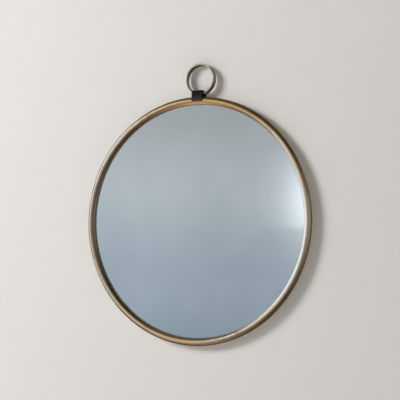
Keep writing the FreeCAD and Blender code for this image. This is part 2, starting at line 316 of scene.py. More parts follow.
def toneZones(tree, tone, around, masks, zones):
    for degrees, width, share, name, side in zones:
        amount = times(tree, zone(tree, around, degrees, width), masks[side])
        tone = mixColour(tree, times(tree, amount, share), tone, hoopFinish[name])
    return tone


def drawnLines(tree, around, section, aroundReach, sectionReach, detail, rough):
    # noise on the closed tube: the two angles become (cos, sin) pairs of a 4-D point, so it has no seam
    pairs = []
    for angle, reach in ((around, aroundReach), (section, sectionReach)):
        angle = times(tree, angle, 2 * math.pi)
        pairs += [times(tree, mathNode(tree, kind, angle), reach) for kind in ("COSINE", "SINE")]
    spot = addNode(tree, "ShaderNodeCombineXYZ", {k: pairs[k] for k in range(3)}).outputs[0]
    inputs = {"Vector": spot, "W": pairs[3], "Scale": 1.0, "Detail": detail, "Roughness": rough}
    return addNode(tree, "ShaderNodeTexNoise", inputs, noise_dimensions="4D").outputs["Fac"]


def hoopGold():
    o = hoopFinish
    material, tree, shader, place = newMaterial("antique_gold_hoop")
    around, section = uvParts(tree)
    patch = noise(tree, place, *o["patch"])
    grain = noise(tree, place, *o["grain"])
    warm = mapRange(tree, bothSides(tree, around, o["warmMiddle"]), *o["warmRange"])   # top and bottom
    warm = mathNode(tree, "MULTIPLY_ADD", warm, o["warmShare"], patch)
    tone = mixColour(tree, mapRange(tree, warm, *o["leafRange"]), o["olive"], o["gold"])
    masks = {}
    for side, (middle, none, full, rest) in o["sides"].items():
        off = mathNode(tree, "ABSOLUTE", minus(tree, section, middle))
        masks[side] = mapRange(tree, off, none, full, rest, 1.0)
    # leaf tones by angle, with a painted highlight colour where highlights fall
    tone = toneZones(tree, tone, around, masks, o["leafAndHighlightZones"])
    worn = 1.0
    for degrees, width, share in o["kept"]:                                 # the leaf is worn less here
        worn = mathNode(tree, "MULTIPLY_ADD", zone(tree, around, degrees, width), -share, worn)
    cloud = noise(tree, stretched(tree, place, shift=o["cloudShift"]), *o["cloud"])
    tone = mixColour(tree, times(tree, mapRange(tree, cloud, *o["cloudRange"]), worn), tone, o["bronze"])
    spots = noise(tree, stretched(tree, place, shift=o["spotShift"]), *o["spots"])
    tone = mixColour(tree, mapRange(tree, spots, *o["spotRange"]), tone, o["copper"])
    masks["patches"] = times(tree, mapRange(tree, spots, *o["patchRange"]), masks["innerFront"])
    # worn copper patches, and painted shade on the tube's inner and outer sides
    tone = toneZones(tree, tone, around, masks, o["wornAndShadeZones"])
    fine = times(tree, mapRange(tree, grain, *o["grainRange"]), worn)
    lines = drawnLines(tree, around, section, *o["lines"])
    rough = mapRange(tree, mathNode(tree, "ADD", patch, lines), *o["roughRange"])
    feed(tree, shader, {"Base Color": mixColour(tree, fine, tone, o["bronze"]), "Roughness": rough,
                        "Metallic": 1.0, "Coat Weight": 1.0, "Coat IOR": o["lacquer"],
                        "Coat Roughness": o["lacquerRough"]})
    bumpTo(tree, shader, mathNode(tree, "MULTIPLY_ADD", lines, o["lineShare"], grain), *o["bump"])
    return material


# paler, worn gilding on the ring: a darker tone on the band's walls as painted shade, leaving its two thin
# edges bright, and tarnish in its hollows
ringFinish = {
    "pale": (0.98, 0.90, 0.76), "dull": (0.72, 0.62, 0.46), "tarnish": (0.24, 0.185, 0.115),
    "band": (0.44, 0.375, 0.28), "bandMiddle": 1 / 12, "bandRange": (0.0, 0.5, 0.0, 0.8),
    "broad": (45.0, 4.0, 0.6, 0.3), "broadRange": (0.38, 0.62), "fine": (520.0, 4.0, 0.65),
    "fineRange": (0.52, 0.72, 0.0, 0.8), "roughRange": (0.3, 0.7, 0.34, 0.18), "bump": (0.18, 0.3 * mm),
}


def ringGold():
    o = ringFinish
    material, tree, shader, place = newMaterial("worn_gilt_ring")
    section = uvParts(tree)[1]
    broad = noise(tree, place, *o["broad"])
    fine = noise(tree, place, *o["fine"])
    tone = mixColour(tree, mapRange(tree, broad, *o["broadRange"]), o["dull"], o["pale"])
    # painted shade: the band's walls take a darker tone than its two thin edges
    band = mapRange(tree, bothSides(tree, section, o["bandMiddle"]), *o["bandRange"])
    tone = mixColour(tree, band, tone, o["band"])                           # not on the two thin edges
    tone = mixColour(tree, mapRange(tree, fine, *o["fineRange"]), tone, o["tarnish"])
    rough = mapRange(tree, broad, *o["roughRange"])
    feed(tree, shader, {"Base Color": tone, "Roughness": rough, "Metallic": 1.0})
    bumpTo(tree, shader, mathNode(tree, "ADD", fine, broad), *o["bump"])
    return material


# black leather: pebbled grain, a satin face, dry over the fold with painted shade there, burnished to both
# ends, and a warm front end that is partly wear and partly a painted reflection of the gilt tube
leatherFinish = {
    "black": (0.0055, 0.0055, 0.0065), "scuff": (0.016, 0.016, 0.019), "fold": (0.0022, 0.0022, 0.0026),
    "worn": (0.056, 0.036, 0.031), "pebbleScale": 720.0, "crease": (260.0, 5.0, 0.65, 0.6),
    "wear": (85.0, 4.0, 0.6), "scuffRange": (0.45, 0.75), "foldStart": (0.10, 0.34), "foldEnd": (0.90, 0.66),
    "foldShare": 0.6, "wornAndReflectedEnd": (0.16, 0.03), "rubRange": (0.3, 0.6, 0.4, 1.0), "pebbleRough": 0.4,
    "wearRough": 0.6, "roughRange": (0.25, 0.65, 0.34, 0.56), "dryRough": 0.30, "gloss": 0.34,
    "creaseHeight": 0.7, "pebbleHeight": 0.8, "bump": (0.6, 0.4 * mm),
}


def leather():
    o = leatherFinish
    material, tree, shader, place = newMaterial("black_grain_leather")
    along = uvParts(tree)[0]
    pebble = voronoi(tree, place, o["pebbleScale"], "SMOOTH_F1")
    crease = noise(tree, place, *o["crease"])
    wear = noise(tree, place, *o["wear"])
    fold = times(tree, mapRange(tree, along, *o["foldStart"]), mapRange(tree, along, *o["foldEnd"]))
    tone = mixColour(tree, mapRange(tree, wear, *o["scuffRange"]), o["black"], o["scuff"])
    # painted shade: a darker tone over the fold, at the strap's top
    tone = mixColour(tree, times(tree, fold, o["foldShare"]), tone, o["fold"])
    # the warm front end: partly wear, partly a painted reflection of the gilt tube below it
    wearAndReflection = times(tree, mapRange(tree, along, *o["wornAndReflectedEnd"]), mapRange(tree, wear, *o["rubRange"]))
    tone = mixColour(tree, wearAndReflection, tone, o["worn"])
    rough = mathNode(tree, "MULTIPLY_ADD", pebble, o["pebbleRough"], times(tree, wear, o["wearRough"]))
    rough = mathNode(tree, "MULTIPLY_ADD", fold, o["dryRough"], mapRange(tree, rough, *o["roughRange"]))
    feed(tree, shader, {"Base Color": tone, "Roughness": rough, "Specular IOR Level": o["gloss"]})
    height = minus(tree, times(tree, crease, o["creaseHeight"]), times(tree, pebble, o["pebbleHeight"]))
    bumpTo(tree, shader, height, *o["bump"])
    return material


def plainFinish(o):
    # a base tone, tones laid over it by textures, a roughness from shares of them, and a bump from their sum
    material, tree, shader, place = newMaterial(o["name"])
    textures = {}
    for key, (kind, *settings) in o["textures"].items():
        spot = stretched(tree, place, *o["stretch"][key]) if key in o.get("stretch", ()) else place
        textures[key] = kind(tree, spot, *settings)
    tone = o["base"]
    for key, span, colour in o["layers"]:
        share = mapRange(tree, textures[key], *span) if span else textures[key]
        tone = mixColour(tree, share, tone, colour)
    rough = o.get("rough", 0.0)
    for key, share in o.get("gloss", {}).items():
        rough = mathNode(tree, "MULTIPLY_ADD", textures[key], share, rough)
    if "roughRange" in o:
        rough = mapRange(tree, rough, *o["roughRange"])
    feed(tree, shader, {"Base Color": tone, "Roughness": rough, "Metallic": o.get("metal", 0.0)})
    if "bump" in o:
        keys, strength, distance = o["bump"]
        height = 0.0
        for key in keys:
            height = mathNode(tree, "ADD", textures[key], height)
        bumpTo(tree, shader, height, strength, distance)
    return material


# silver behind the glass: near white with a cool cast, and faint wiping marks in its gloss
silverFinish = {
    "name": "silvered_mirror", "metal": 1.0, "base": (0.80, 0.85, 0.865),
    "textures": {"broad": (noise, 5.0, 3.0, 0.5), "wipes": (noise, 3.0, 4.0, 0.6, 0.8)},
    "stretch": {"wipes": [(4, 4, 30)]}, "layers": [("broad", (0.35, 0.65), (0.86, 0.905, 0.915))],
    "gloss": {"wipes": 1.0}, "roughRange": (0.45, 0.75, 0.006, 0.03),
}

# ground edge of the glass: frosted, sea green
edgeFinish = {
    "name": "ground_glass_edge", "base": (0.44, 0.56, 0.51), "textures": {"grit": (noise, 900.0, 3.0, 0.7)},
    "layers": [("grit", None, (0.62, 0.71, 0.67))], "gloss": {"grit": 1.0},
    "roughRange": (0.3, 0.7, 0.38, 0.58), "bump": (["grit"], 0.2, 0.1 * mm),
}

# pressed fibre board on the back: pale fibres one way, dark ones across them, and dark flecks
boardFinish = {
    "name": "fibre_board", "base": (0.355, 0.24, 0.15),
    "textures": {"cloud": (noise, 30.0, 8.0, 0.75), "pale": (noise, 1.0, 4.0, 0.7, 0.6),
                 "dark": (noise, 1.0, 4.0, 0.7, 0.6), "fleck": (noise, 650.0, 2.0, 0.5)},
    "stretch": {"pale": [(900, 900, 140)], "dark": [(150, 900, 850), (5, 2, 9)]},
    "layers": [("cloud", (0.3, 0.7), (0.40, 0.28, 0.18)),
               ("pale", (0.45, 0.7, 0.0, 0.45), (0.40, 0.28, 0.18)),
               ("dark", (0.5, 0.75, 0.0, 0.6), (0.20, 0.13, 0.078)),
               ("fleck", (0.62, 0.72, 0.0, 0.7), (0.20, 0.13, 0.078))],
    "gloss": {"pale": 1.0}, "roughRange": (0.3, 0.7, 0.62, 0.84), "bump": (["pale", "dark"], 0.25, 0.2 * mm),
}

# zinc plated steel: fine crystals, a faint rolled grain and cloudy gloss
zincFinish = {
    "name": "zinc_steel", "metal": 1.0, "base": (0.56, 0.57, 0.58),
    "textures": {"crystal": (crystals, 950.0), "cloud": (noise, 60.0, 4.0, 0.6),
                 "rolled": (noise, 1.0, 3.0, 0.6)}, "stretch": {"rolled": [(1600, 1600, 120)]},
    "layers": [("crystal", None, (0.64, 0.645, 0.65)), ("cloud", (0.5, 0.7, 0.0, 0.5), (0.60, 0.58, 0.52))],
    "gloss": {"cloud": 0.6, "rolled": 0.4}, "roughRange": (0.35, 0.65, 0.26, 0.46),
    "bump": (["rolled", "cloud"], 0.1, 0.1 * mm),
}

# blackened steel on the strap's fixing
blackFinish = {
    "name": "blackened_steel", "metal": 0.85, "base": (0.028, 0.028, 0.031),
    "textures": {"cloud": (noise, 240.0, 5.0, 0.65)}, "gloss": {"cloud": 1.0},
    "layers": [("cloud", (0.55, 0.8), (0.16, 0.155, 0.15))],
    "roughRange": (0.3, 0.7, 0.3, 0.5), "bump": (["cloud"], 0.12, 0.1 * mm),
}

# grey rubber of the wall pads: matt, with moulding haze and dust
rubberFinish = {
    "name": "pad_rubber", "base": (0.055, 0.055, 0.058),
    "textures": {"haze": (noise, 120.0, 4.0, 0.6), "pits": (noise, 1500.0, 2.0, 0.5)},
    "layers": [("haze", (0.42, 0.75), (0.12, 0.118, 0.112))], "gloss": {"haze": 1.0},
    "roughRange": (0.3, 0.7, 0.54, 0.80), "bump": (["pits"], 0.15, 0.1 * mm),
}

# white foam of the mounting tape: closed cells
foamFinish = {
    "name": "tape_foam", "base": (0.74, 0.74, 0.71), "textures": {"cells": (voronoi, 1300.0)},
    "layers": [("cells", (0.1, 0.6), (0.55, 0.55, 0.53))], "rough": 0.8, "bump": (["cells"], 0.3, 0.2 * mm),
}

plainFinishes = {
    "silvered_glass": silverFinish, "glass_edge": edgeFinish, "board": boardFinish, "zinc_steel": zincFinish,
    "black_steel": blackFinish, "pad_rubber": rubberFinish, "foam_tape": foamFinish,
}
finishes = {slot: plainFinish(o) for slot, o in plainFinishes.items()}
finishes.update(gilt_tube=hoopGold(), gilt_ring=ringGold(), black_leather=leather())
print("finishes made:", len(finishes))

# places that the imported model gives
hoopLow, hoopHigh = (np.array(corner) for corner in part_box("hoop_tube"))
hoopMiddle = (hoopLow + hoopHigh) / 2
tubeRadius = (hoopHigh[1] - hoopLow[1]) / 2
hoopRadius = (hoopHigh[0] - hoopLow[0]) / 2 - tubeRadius
hoopMiddle[1] = hoopLow[1] + tubeRadius
toWall = np.array([0.0, 1.0, 0.0])
toRight = np.array([1.0, 0.0, 0.0])
ringPoints = nodePoints("ring")
ringMiddle = (ringPoints.min(0) + ringPoints.max(0)) / 2
spread = np.linalg.svd(ringPoints - ringPoints.mean(0), full_matrices=False)[2]
ringAxis = spread[2] * np.sign(spread[2][1])            # the band's own axis, towards the wall
ringUp = unit(np.cross(toRight, ringAxis))
crest = hoopMiddle + np.array([0, 0, hoopRadius])       # middle of the tube at the hoop's top
clipJoints = [joint for joint in frame["joints"] if joint["name"].startswith("turn_clip")]


# the hoop: point = middle + (R + r cos v)*(cos u, 0, sin u) + (0, r sin v, 0)
hoopShape = {"alongCount": 540, "roundCount": 64}


def makeHoop():
    o = hoopShape
    u = fullTurn(o["alongCount"])[:, None]
    v = fullTurn(o["roundCount"])[None, :]
    reach = hoopRadius + tubeRadius * np.cos(v)
    parts = np.broadcast_arrays(reach * np.cos(u), tubeRadius * np.sin(v), reach * np.sin(u))
    addPiece("gilt_hoop", surface(hoopMiddle + np.stack(parts, -1)), "frame", "gilt_tube", ["hoop_tube"])


# the mirror: its silver is drawn where it is seen, thickness / refractive index behind the glass's front
mirrorShape = {"refraction": 1.52, "rimWidth": 0.35 * mm, "arris": 0.3 * mm, "edgeGap": 0.05 * mm,
               "count": 360, "rings": 24, "sharp": 30}


def makeMirror():
    o = mirrorShape
    low, high = (np.array(corner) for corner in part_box("mirror_glass"))
    radius = (high[0] - low[0]) / 2
    front, rear = low[1] - hoopMiddle[1], high[1] - hoopMiddle[1]
    seen = front + (rear - front) / o["refraction"]
    inner = radius - o["rimWidth"]
    faceRadii = np.linspace(0, inner - o["edgeGap"], o["rings"])
    face = [(r, seen) for r in faceRadii] + [(faceRadii[-1], rear), (0, rear)]
    disc = revolve(face, hoopMiddle, toWall, toRight, o["count"], True)
    addPiece("silver_face", disc, "frame", "silvered_glass", ["mirror_glass"], o["sharp"])
    rim = [(inner, front), (radius - o["arris"], front), (radius, front + o["arris"]),
           (radius, rear - o["arris"]), (radius - o["arris"], rear), (inner, rear)]
    ground = revolve(rim, hoopMiddle, toWall, toRight, o["count"])
    addPiece("glass_rim", ground, "frame", "silvered_glass", (), o["sharp"], "glass_edge")


# the ring: a flat band with rounded corners, revolved, with a filed weld at its top;
# the weld swells by height exp(-(off / width)^2) - groove exp(-(off / grooveWidth)^2), off in degrees
ringShape = {"thickness": 4.0 * mm, "depth": 16.0 * mm, "corner": 0.9 * mm, "steps": (6, 4, 8), "count": 300,
             "weldAngle": 96.0, "weldWidth": 2.2, "weldHeight": 0.22 * mm, "weldGroove": 0.28 * mm,
             "grooveWidth": 0.6, "depthShare": 0.5}


def roundedLoop(width, height, corner, cornerSteps, widthSteps, heightSteps):
    # outline of a rounded rectangle: four straights, each followed by a quarter circle
    w, h = width / 2 - corner, height / 2 - corner
    quarter = np.linspace(0, np.pi / 2, cornerSteps, endpoint=False)
    sides = [((w, -h), (w, h), 0.0, heightSteps), ((w, h), (-w, h), np.pi / 2, widthSteps),
             ((-w, h), (-w, -h), np.pi, heightSteps), ((-w, -h), (w, -h), 1.5 * np.pi, widthSteps)]
    parts = []
    for start, end, turn, steps in sides:
        share = np.linspace(0, 1, steps, endpoint=False)[:, None]
        normal = np.array([np.cos(turn), np.sin(turn)])
        parts.append(np.array(start) * (1 - share) + np.array(end) * share + normal * corner)
        bend = np.stack([np.cos(turn + quarter), np.sin(turn + quarter)], -1)
        parts.append(np.array(end) + bend * corner)
    return np.vstack(parts)


def makeRing():
    o = ringShape
    outer = ((ringPoints - ringMiddle) @ ringUp).max()
    loop = roundedLoop(o["thickness"], o["depth"], o["corner"], *o["steps"])
    radius = outer - o["thickness"] / 2 + loop[:, 0]
    angle = fullTurn(o["count"])
    off = np.degrees(angle) - o["weldAngle"]
    swell = o["weldHeight"] * np.exp(-(off / o["weldWidth"]) ** 2)
    swell = swell - o["weldGroove"] * np.exp(-(off / o["grooveWidth"]) ** 2)
    side = np.sign(loop[:, 0]) * np.clip(np.abs(loop[:, 0]) / (o["thickness"] / 2), 0, 1)
    reach = radius[None, :] + swell[:, None] * side[None, :]
    deep = loop[:, 1][None, :] * (1 + swell[:, None] / o["depth"] * o["depthShare"])
    spoke = np.cos(angle)[:, None] * toRight + np.sin(angle)[:, None] * ringUp
    points = ringMiddle + spoke[:, None, :] * reach[..., None] + ringAxis * deep[..., None]
    addPiece("band_ring", surface(points), "ring", "gilt_ring", ["ring"])


# the leather loop: a strip's rounded section carried up the tube's front, over the band and down behind,
# with a pressed line along each edge, rounded ends and a thinner outside over each bend
loopShape = {"thickness": 2.4 * mm, "edgeRound": 0.75 * mm, "steps": (5, 36, 3), "bend": 1.25 * mm,
             "bendSteps": 12, "step": 0.8 * mm, "endRound": 0.7 * mm, "endSteps": 5,
             "creaseInset": 2.4 * mm, "creaseDepth": 0.22 * mm, "creaseWidth": 0.35 * mm,
             "shoulderThin": 1.0 * mm, "shoulderReach": 4.2 * mm}


def loopPath(half, top, frontEnd, rearEnd, bend, bendSteps, step):
    # the strip's middle line in depth and height: leg, quarter bend, flat top, quarter bend, leg
    def leg(start, end):
        count = max(int(abs(end - start) / step), 2)
        return np.linspace(start, end, count, endpoint=False)
    turn = np.linspace(0, np.pi / 2, bendSteps, endpoint=False)
    up = leg(frontEnd, top - bend)
    flat = leg(-half + bend, half - bend)
    down = leg(top - bend, rearEnd)
    depth = np.concatenate([np.full(len(up), -half), -half + bend - bend * np.cos(turn), flat,
                            half - bend + bend * np.sin(turn), np.full(len(down), half), [half]])
    height = np.concatenate([up, top - bend + bend * np.sin(turn), np.full(len(flat), top),
                             top - bend + bend * np.cos(turn), down, [rearEnd]])
    return np.stack([depth, height], -1)


def makeLoop():
    o = loopShape
    points = nodePoints("strap") - crest
    depth, height = points @ ringAxis, points @ ringUp
    width = points[:, 0].max() - points[:, 0].min()
    half = o["thickness"] / 2
    reach, top = depth.max() - half, height.max() - half
    frontEnd, rearEnd = height[depth < 0].min() + o["endRound"], height[depth > 0].min() + o["endRound"]
    path = loopPath(reach, top, frontEnd, rearEnd, o["bend"] + half, o["bendSteps"], o["step"])
    section = roundedLoop(width, o["thickness"], o["edgeRound"], *o["steps"])
    crease = np.exp(-((np.abs(section[:, 0]) - width / 2 + o["creaseInset"]) / o["creaseWidth"]) ** 2)
    section[:, 1] -= o["creaseDepth"] * crease * (section[:, 1] > 0)
    along = np.gradient(path, axis=0)
    along /= np.linalg.norm(along, axis=1)[:, None]
    away = np.stack([-along[:, 1], along[:, 0]], -1)
    roll = np.linspace(0, np.pi / 2, o["endSteps"] + 1)[:-1]        # rows that round the two cut ends
    inset = o["endRound"] * (1 - np.cos(roll[::-1]))
    startRows = path[0] - along[0] * (o["endRound"] * np.sin(roll[::-1]))[:, None]
    endRows = path[-1] + along[-1] * (o["endRound"] * np.sin(roll))[:, None]
    line = np.vstack([startRows, path[1:-1], endRows])
    startAway, endAway = (np.repeat(away[k][None], o["endSteps"], 0) for k in (0, -1))
    normal = np.vstack([startAway, away[1:-1], endAway])
    shrink = np.concatenate([inset, np.zeros(len(path) - 2), inset[::-1]])
    wide = section[None, :, 0] - np.sign(section[None, :, 0]) * shrink[:, None]
    bends = np.array([[-reach, top], [reach, top]])
    nearest = np.linalg.norm(line[:, None, :] - bends[None], axis=2).min(1)
    thin = o["shoulderThin"] * np.exp(-(nearest / o["shoulderReach"]) ** 2)
    thick = section[None, :, 1] * (1 - shrink[:, None] / half)
    thick = thick - thin[:, None] * np.clip(thick / half, 0, 1)
    lift = line[:, None, :] + normal[:, None, :] * thick[..., None]
    grid = crest + toRight * wide[..., None] + ringAxis * lift[..., 0:1] + ringUp * lift[..., 1:2]
    addPiece("leather_loop", surface(grid, True), "frame", "black_leather", ["strap"])


# pan head screws with a cross recess: head height = dome(r) - recess where a bar of the cross passes;
# the shape's lengths are shares of the head's radius or height
screwShape = {"recessDepth": 0.55, "recessReach": 0.58, "recessTaper": 0.55, "recessWidth": 0.13,
              "recessSlope": 0.6, "rim": 0.42, "domePower": 2.6, "tip": 0.6, "rings": 15, "count": 64,
              "sharp": 40}
screwSizes = {"clip": {"head": 7.5 * mm, "height": 2.4 * mm, "shank": 4.0 * mm, "length": 8.0 * mm},
              "hanger": {"head": 6.5 * mm, "height": 1.8 * mm, "shank": 3.5 * mm, "length": 6.5 * mm},
              "strap": {"head": 7.0 * mm, "height": 2.2 * mm, "shank": 3.5 * mm, "length": 10.0 * mm},
              "clipSlant": 23.0, "clipTurn": 67.0, "hangerSlants": (0.5, 1.2), "strapSlant": 0.4}


def panScrew(seat, axis, right, size):
    o = screwShape
    axis, right = unit(axis), unit(right)
    up = np.cross(axis, right)
    headRadius, headHeight = size["head"] / 2, size["height"]
    shankRadius, length = size["shank"] / 2, size["length"]
    angle = fullTurn(o["count"])
    share = np.linspace(1, 0, o["rings"])[:-1]
    x = share[:, None] * np.cos(angle)
    y = share[:, None] * np.sin(angle)

    def bar(across, along):
        slope = o["recessWidth"] * o["recessSlope"]
        narrow = np.clip((o["recessWidth"] + slope - np.abs(across)) / slope, 0, 1)
        ends = np.clip((o["recessReach"] - np.abs(along)) / (o["recessReach"] * o["recessTaper"]), 0, 1)
        return narrow * ends
    cross = np.maximum(bar(x, y), bar(y, x))
    arch = np.sqrt(np.clip(1 - share ** o["domePower"], 0, 1))[:, None]
    rise = headHeight * (o["rim"] + (1 - o["rim"]) * arch - o["recessDepth"] * cross)
    head = seat + headRadius * (right * x[..., None] + up * y[..., None]) + axis * rise[..., None]
    spoke = np.cos(angle)[:, None] * right + np.sin(angle)[:, None] * up
    shank = [(shankRadius * o["tip"], -length), (shankRadius, shankRadius - length),
             (shankRadius, 0), (headRadius, 0)]
    lower = np.stack([seat + spoke * r + axis * d for r, d in shank])
    rows = np.concatenate([lower, head])
    quads, steps = gridFaces(len(rows), o["count"], False)
    points = rows.reshape(-1, 3)
    ring = np.arange(o["count"])
    after = (ring + 1) % o["count"]
    base = (len(rows) - 1) * o["count"]
    tip, crown = len(points), len(points) + 1
    fans = np.concatenate([np.stack([after, ring, np.full_like(ring, tip)], -1),
                           np.stack([base + ring, base + after, np.full_like(ring, crown)], -1)])
    points = np.vstack([points, seat - axis * length, seat + axis * headHeight * (1 - o["recessDepth"])])
    uvs = [steps / np.array([len(rows) - 1, o["count"]]), np.zeros((len(fans), 3, 2))]
    return outward(points, [quads, fans], uvs)


def slanted(angle):
    return np.array([np.cos(angle), 0, np.sin(angle)])


def makeScrews():
    o = screwSizes
    sharp = screwShape["sharp"]
    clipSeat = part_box("clip_screws")[1][1] - o["clip"]["height"]
    shapes = []
    for index, joint in enumerate(clipJoints):
        place = np.array(joint["pos_m"], float)
        place[1] = clipSeat
        right = slanted(math.radians(o["clipSlant"] + o["clipTurn"] * index))
        shapes.append(panScrew(place, toWall, right, o["clip"]))
    addPiece("clip_screw_set", joinShapes(shapes), "frame", "zinc_steel", ["clip_screws"], sharp)
    low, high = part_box("hanger_screws")
    heights = (low[2] + o["hanger"]["head"] / 2, high[2] - o["hanger"]["head"] / 2)
    shapes = []
    for z, slant in zip(heights, o["hangerSlants"]):
        place = np.array([0, high[1] - o["hanger"]["height"], z])
        shapes.append(panScrew(place, toWall, slanted(slant), o["hanger"]))
    addPiece("hanger_screw_set", joinShapes(shapes), "frame", "zinc_steel", ["hanger_screws"], sharp)
    reach = ((nodePoints("strap_screw") - crest) @ ringAxis).max()
    place = crest + ringAxis * (reach - o["strap"]["height"])
    shape = panScrew(place, ringAxis, toRight + o["strapSlant"] * ringUp, o["strap"])
    addPiece("strap_fixing_screw", shape, "frame", "black_steel", ["strap_screw"], sharp)


# turn clips: the hull of two circles, point = centre + (r - inset)*(cos t, sin t) from the circle that
# reaches furthest, with rounded edges and a bore
clipShape = {"pivotRadius": 6.0 * mm, "noseRadius": 3.5 * mm, "bore": 2.1 * mm, "edge": 0.35 * mm,
             "edgeSteps": 4, "count": 96, "sharp": 40}


def makeClips():
    o = clipShape
    angle = fullTurn(o["count"])
    normal = np.stack([np.cos(angle), np.sin(angle)], -1)
    roll = np.linspace(0, np.pi / 2, o["edgeSteps"] + 1)
    for index, joint in enumerate(clipJoints):
        name = joint["child"]
        pivot = np.array(joint["pos_m"], float)
        low, high = (np.array(corner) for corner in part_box(name))
        inward = unit((hoopMiddle - pivot) * np.array([1, 0, 1]))
        side = np.cross(toWall, inward)
        span = ((nodePoints(name) - pivot) @ inward).max() - o["noseRadius"]
        nose = span * normal[:, 0] + o["noseRadius"] > o["pivotRadius"]
        centre = np.where(nose, span, 0.0)
        radius = np.where(nose, o["noseRadius"], o["pivotRadius"])

        def row(middle, reach, depth):
            spot = pivot + inward * (middle + reach * normal[:, 0])[:, None]
            spot += side * (reach * normal[:, 1])[:, None]
            spot[:, 1] = depth
            return spot
        rows = [row(0.0, o["bore"], low[1]), row(0.0, o["bore"], high[1])]
        for inset, drop in zip(o["edge"] * (1 - np.sin(roll)), o["edge"] * (1 - np.cos(roll))):
            rows.append(row(centre, radius - inset, high[1] - drop))
        for inset, lift in zip(o["edge"] * (1 - np.cos(roll)), o["edge"] * (1 - np.sin(roll))):
            rows.append(row(centre, radius - inset, low[1] + lift))
        shape = surface(np.stack(rows))
        addPiece("turn_button_%d" % (index + 1), shape, name, "zinc_steel", [name], o["sharp"])


# wall pads: a tapered bumper with a rounded lip and a slightly dished face, revolved
padShape = {"number": 4, "foot": 22.0 * mm, "tip": 18.0 * mm, "lip": 1.6 * mm, "lipSteps": 7,
            "dish": 0.35 * mm, "dishShare": 0.62, "skirt": 0.6 * mm, "shoulderInset": 0.3 * mm,
            "shoulderHeight": 0.9 * mm, "count": 72, "sharp": 35}


def makePads():
    o = padShape
    roll = np.linspace(0, np.pi / 2, o["lipSteps"])
    foot, tip, lip = o["foot"] / 2, o["tip"] / 2, o["lip"]
    for number in range(1, o["number"] + 1):
        name = "wall_pad_%d" % number
        low, high = (np.array(corner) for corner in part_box(name))
        base = (low + high) / 2
        base[1] = low[1]
        tall = high[1] - low[1]
        profile = [(0, 0), (foot, 0), (foot, o["skirt"]), (foot - o["shoulderInset"], o["shoulderHeight"])]
        profile += [(tip - lip + lip * np.cos(a), tall - lip + lip * np.sin(a)) for a in roll]
        profile += [(tip * o["dishShare"], tall - o["dish"]), (0, tall - o["dish"])]
        shape = revolve(profile, base, toWall, toRight, o["count"], True)
        addPiece("wall_bumper_%d" % number, shape, "frame", "pad_rubber", [name], o["sharp"])


# weld beads round the bosses' feet: a rippled tube on the line where the boss meets the hoop's tube;
# that line's depth = sqrt(tube radius^2 - distance from the tube's middle line^2)
weldShape = {"bossRadius": 5.0 * mm, "bead": 0.85 * mm, "ripple": 0.16, "ripples": 22, "alongCount": 110,
             "roundCount": 12}


def makeWelds():
    o = weldShape
    turn = fullTurn(o["alongCount"])
    beadTurn = fullTurn(o["roundCount"])
    ahead = o["bossRadius"] * np.cos(turn)
    outside = o["bossRadius"] * np.sin(turn)
    distance = np.hypot(hoopRadius + outside, ahead) - hoopRadius
    depth = np.sqrt(tubeRadius ** 2 - distance ** 2)
    bead = o["bead"] * (1 + o["ripple"] * np.cos(o["ripples"] * turn))
    shapes = []
    for joint in clipJoints:
        pivot = np.array(joint["pos_m"], float)
        radial = unit((pivot - hoopMiddle) * np.array([1, 0, 1]))
        tangent = np.cross(toWall, radial)
        line = hoopMiddle + radial * (hoopRadius + outside)[:, None] + tangent * ahead[:, None]
        line = line + toWall * depth[:, None]
        away = radial * np.sin(turn)[:, None] + tangent * np.cos(turn)[:, None]
        spoke = away[:, None, :] * np.cos(beadTurn)[None, :, None] + toWall * np.sin(beadTurn)[None, :, None]
        shapes.append(surface(line[:, None, :] + spoke * bead[:, None, None]))
    addPiece("boss_welds", joinShapes(shapes), "frame", "gilt_tube")


makeHoop()
makeMirror()
makeRing()
makeLoop()
makeScrews()
makeClips()
makePads()
makeWelds()
print("pieces made")

# the nodes whose own shape stays take their finish here
keptNodes = {"mirror_tape": "foam_tape", "backing_board": "board", "clip_bosses": "gilt_tube",
             "clip_washers": "zinc_steel", "keyhole_hanger": "zinc_steel", "strap_washer": "black_steel"}
for name, finish in keptNodes.items():
    node = frame["nodes"][name]
    node.data.materials.clear()
    node.data.materials.append(finishes[finish])
print("kept nodes finished:", len(keptNodes))

# camera: metres from the mirror's middle, degrees, and the photograph's focal length in pixels
view = {"azimuth": 26.74, "elevation": -2.25, "distance": 4.5, "pan": 0.080, "tilt": 0.657, "roll": 0.71,
        "focalPixels": 1839.4, "framePixels": 400, "sensor": 36.0, "clipEnd": 100.0}


def makeCamera():
    o = view
    a, e, pan, tilt, roll = (math.radians(o[key]) for key in ("azimuth", "elevation", "pan", "tilt", "roll"))
    back = np.array([math.sin(a) * math.cos(e), -math.cos(a) * math.cos(e), math.sin(e)])
    right = unit(np.cross(-back, [0, 0, 1]))
    up = np.cross(right, -back)
    forward = unit(-back * math.cos(pan) * math.cos(tilt) + right * math.sin(pan) + up * math.sin(tilt))
    right = unit(np.cross(forward, up))
    up = np.cross(right, forward)
    rolledRight = right * math.cos(roll) + up * math.sin(roll)
    rolledUp = up * math.cos(roll) - right * math.sin(roll)
    data = bpy.data.cameras.new("photo_camera")
    data.sensor_width = o["sensor"]
    data.lens = o["focalPixels"] * o["sensor"] / o["framePixels"]
    data.clip_end = o["clipEnd"]
    camera = bpy.data.objects.new("photo_camera", data)
    turn = Matrix(np.stack([rolledRight, rolledUp, -forward], -1).tolist()).to_4x4()
    camera.matrix_world = Matrix.Translation(Vector(hoopMiddle + back * o["distance"])) @ turn
    scene.collection.objects.link(camera)
    scene.camera = camera


